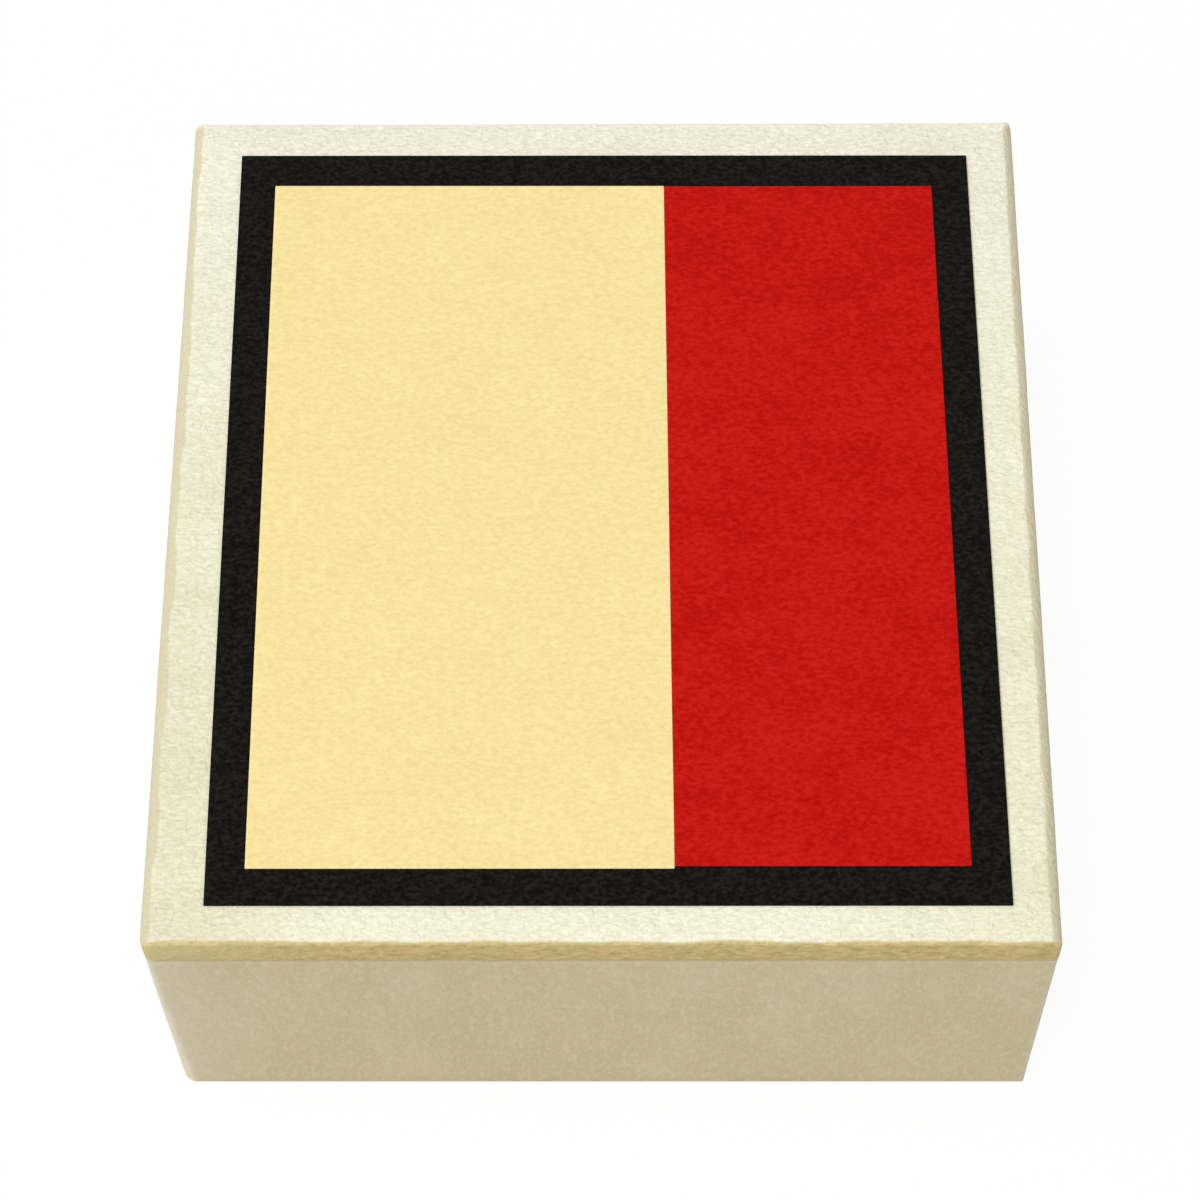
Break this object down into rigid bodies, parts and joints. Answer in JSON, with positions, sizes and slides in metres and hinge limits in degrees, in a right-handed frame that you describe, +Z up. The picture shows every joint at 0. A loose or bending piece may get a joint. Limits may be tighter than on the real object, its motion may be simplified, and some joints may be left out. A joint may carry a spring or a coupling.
{
  "type": "boxed ink stick",
  "caption": "Moulded ink stick for calligraphy, in a slotted card platform inside a paper-covered rigid box with a lift-off lid.",
  "frame": {"origin": "centre of the box's underside, on the surface it stands on", "axes": "+Z up through the lid, +X to the right, +Y to the back along the ink stick's length; the red label sheet is on the +X side"},
  "size_m": [0.1, 0.1082, 0.0442],
  "materials": {
    "lid_paper": "matte",
    "base_paper": "matte",
    "lining_paper": "matte",
    "greyboard": "matte",
    "insert_card": "matte",
    "bed_flock": "matte",
    "label_black": "matte",
    "label_cream": "matte",
    "label_red": "matte",
    "ink": "satin"
  },
  "bodies": {
    "base": {"base_underside_sheet": "base_paper", "base_infill_sheet": "lining_paper", "base_floor_board": "greyboard", "base_wall_front": "greyboard", "base_wall_back": "greyboard", "base_wall_left": "greyboard", "base_wall_right": "greyboard", "base_floor_lining": "lining_paper", "base_wrap": "base_paper", "platform_riser_front": "insert_card", "platform_riser_back": "insert_card", "platform_riser_left": "insert_card", "platform_riser_right": "insert_card", "platform_board": "insert_card", "bed_leg_left": "insert_card", "bed_leg_right": "insert_card", "bed_board": "insert_card", "bed_lining": "bed_flock"},
    "lid": {"lid_wrap": "lid_paper", "lid_top_board": "greyboard", "lid_under_board": "greyboard", "lid_infill_sheet": "lining_paper", "lid_lining": "lining_paper", "lid_collar_front": "lining_paper", "lid_collar_back": "lining_paper", "lid_collar_left": "lining_paper", "lid_collar_right": "lining_paper", "label_mount": "label_black", "label_cream_sheet": "label_cream", "label_red_sheet": "label_red"},
    "ink_stick": {"ink_stick": "ink"}
  },
  "joints": [
    {"name": "lid_lift", "type": "slide", "parent": "base", "child": "lid", "axis": [0, 0, 1], "range_m": [0, 0.08]},
    {"name": "ink_stick_lift", "type": "slide", "parent": "base", "child": "ink_stick", "axis": [0, 0, 1], "range_m": [0, 0.012]}
  ]
}
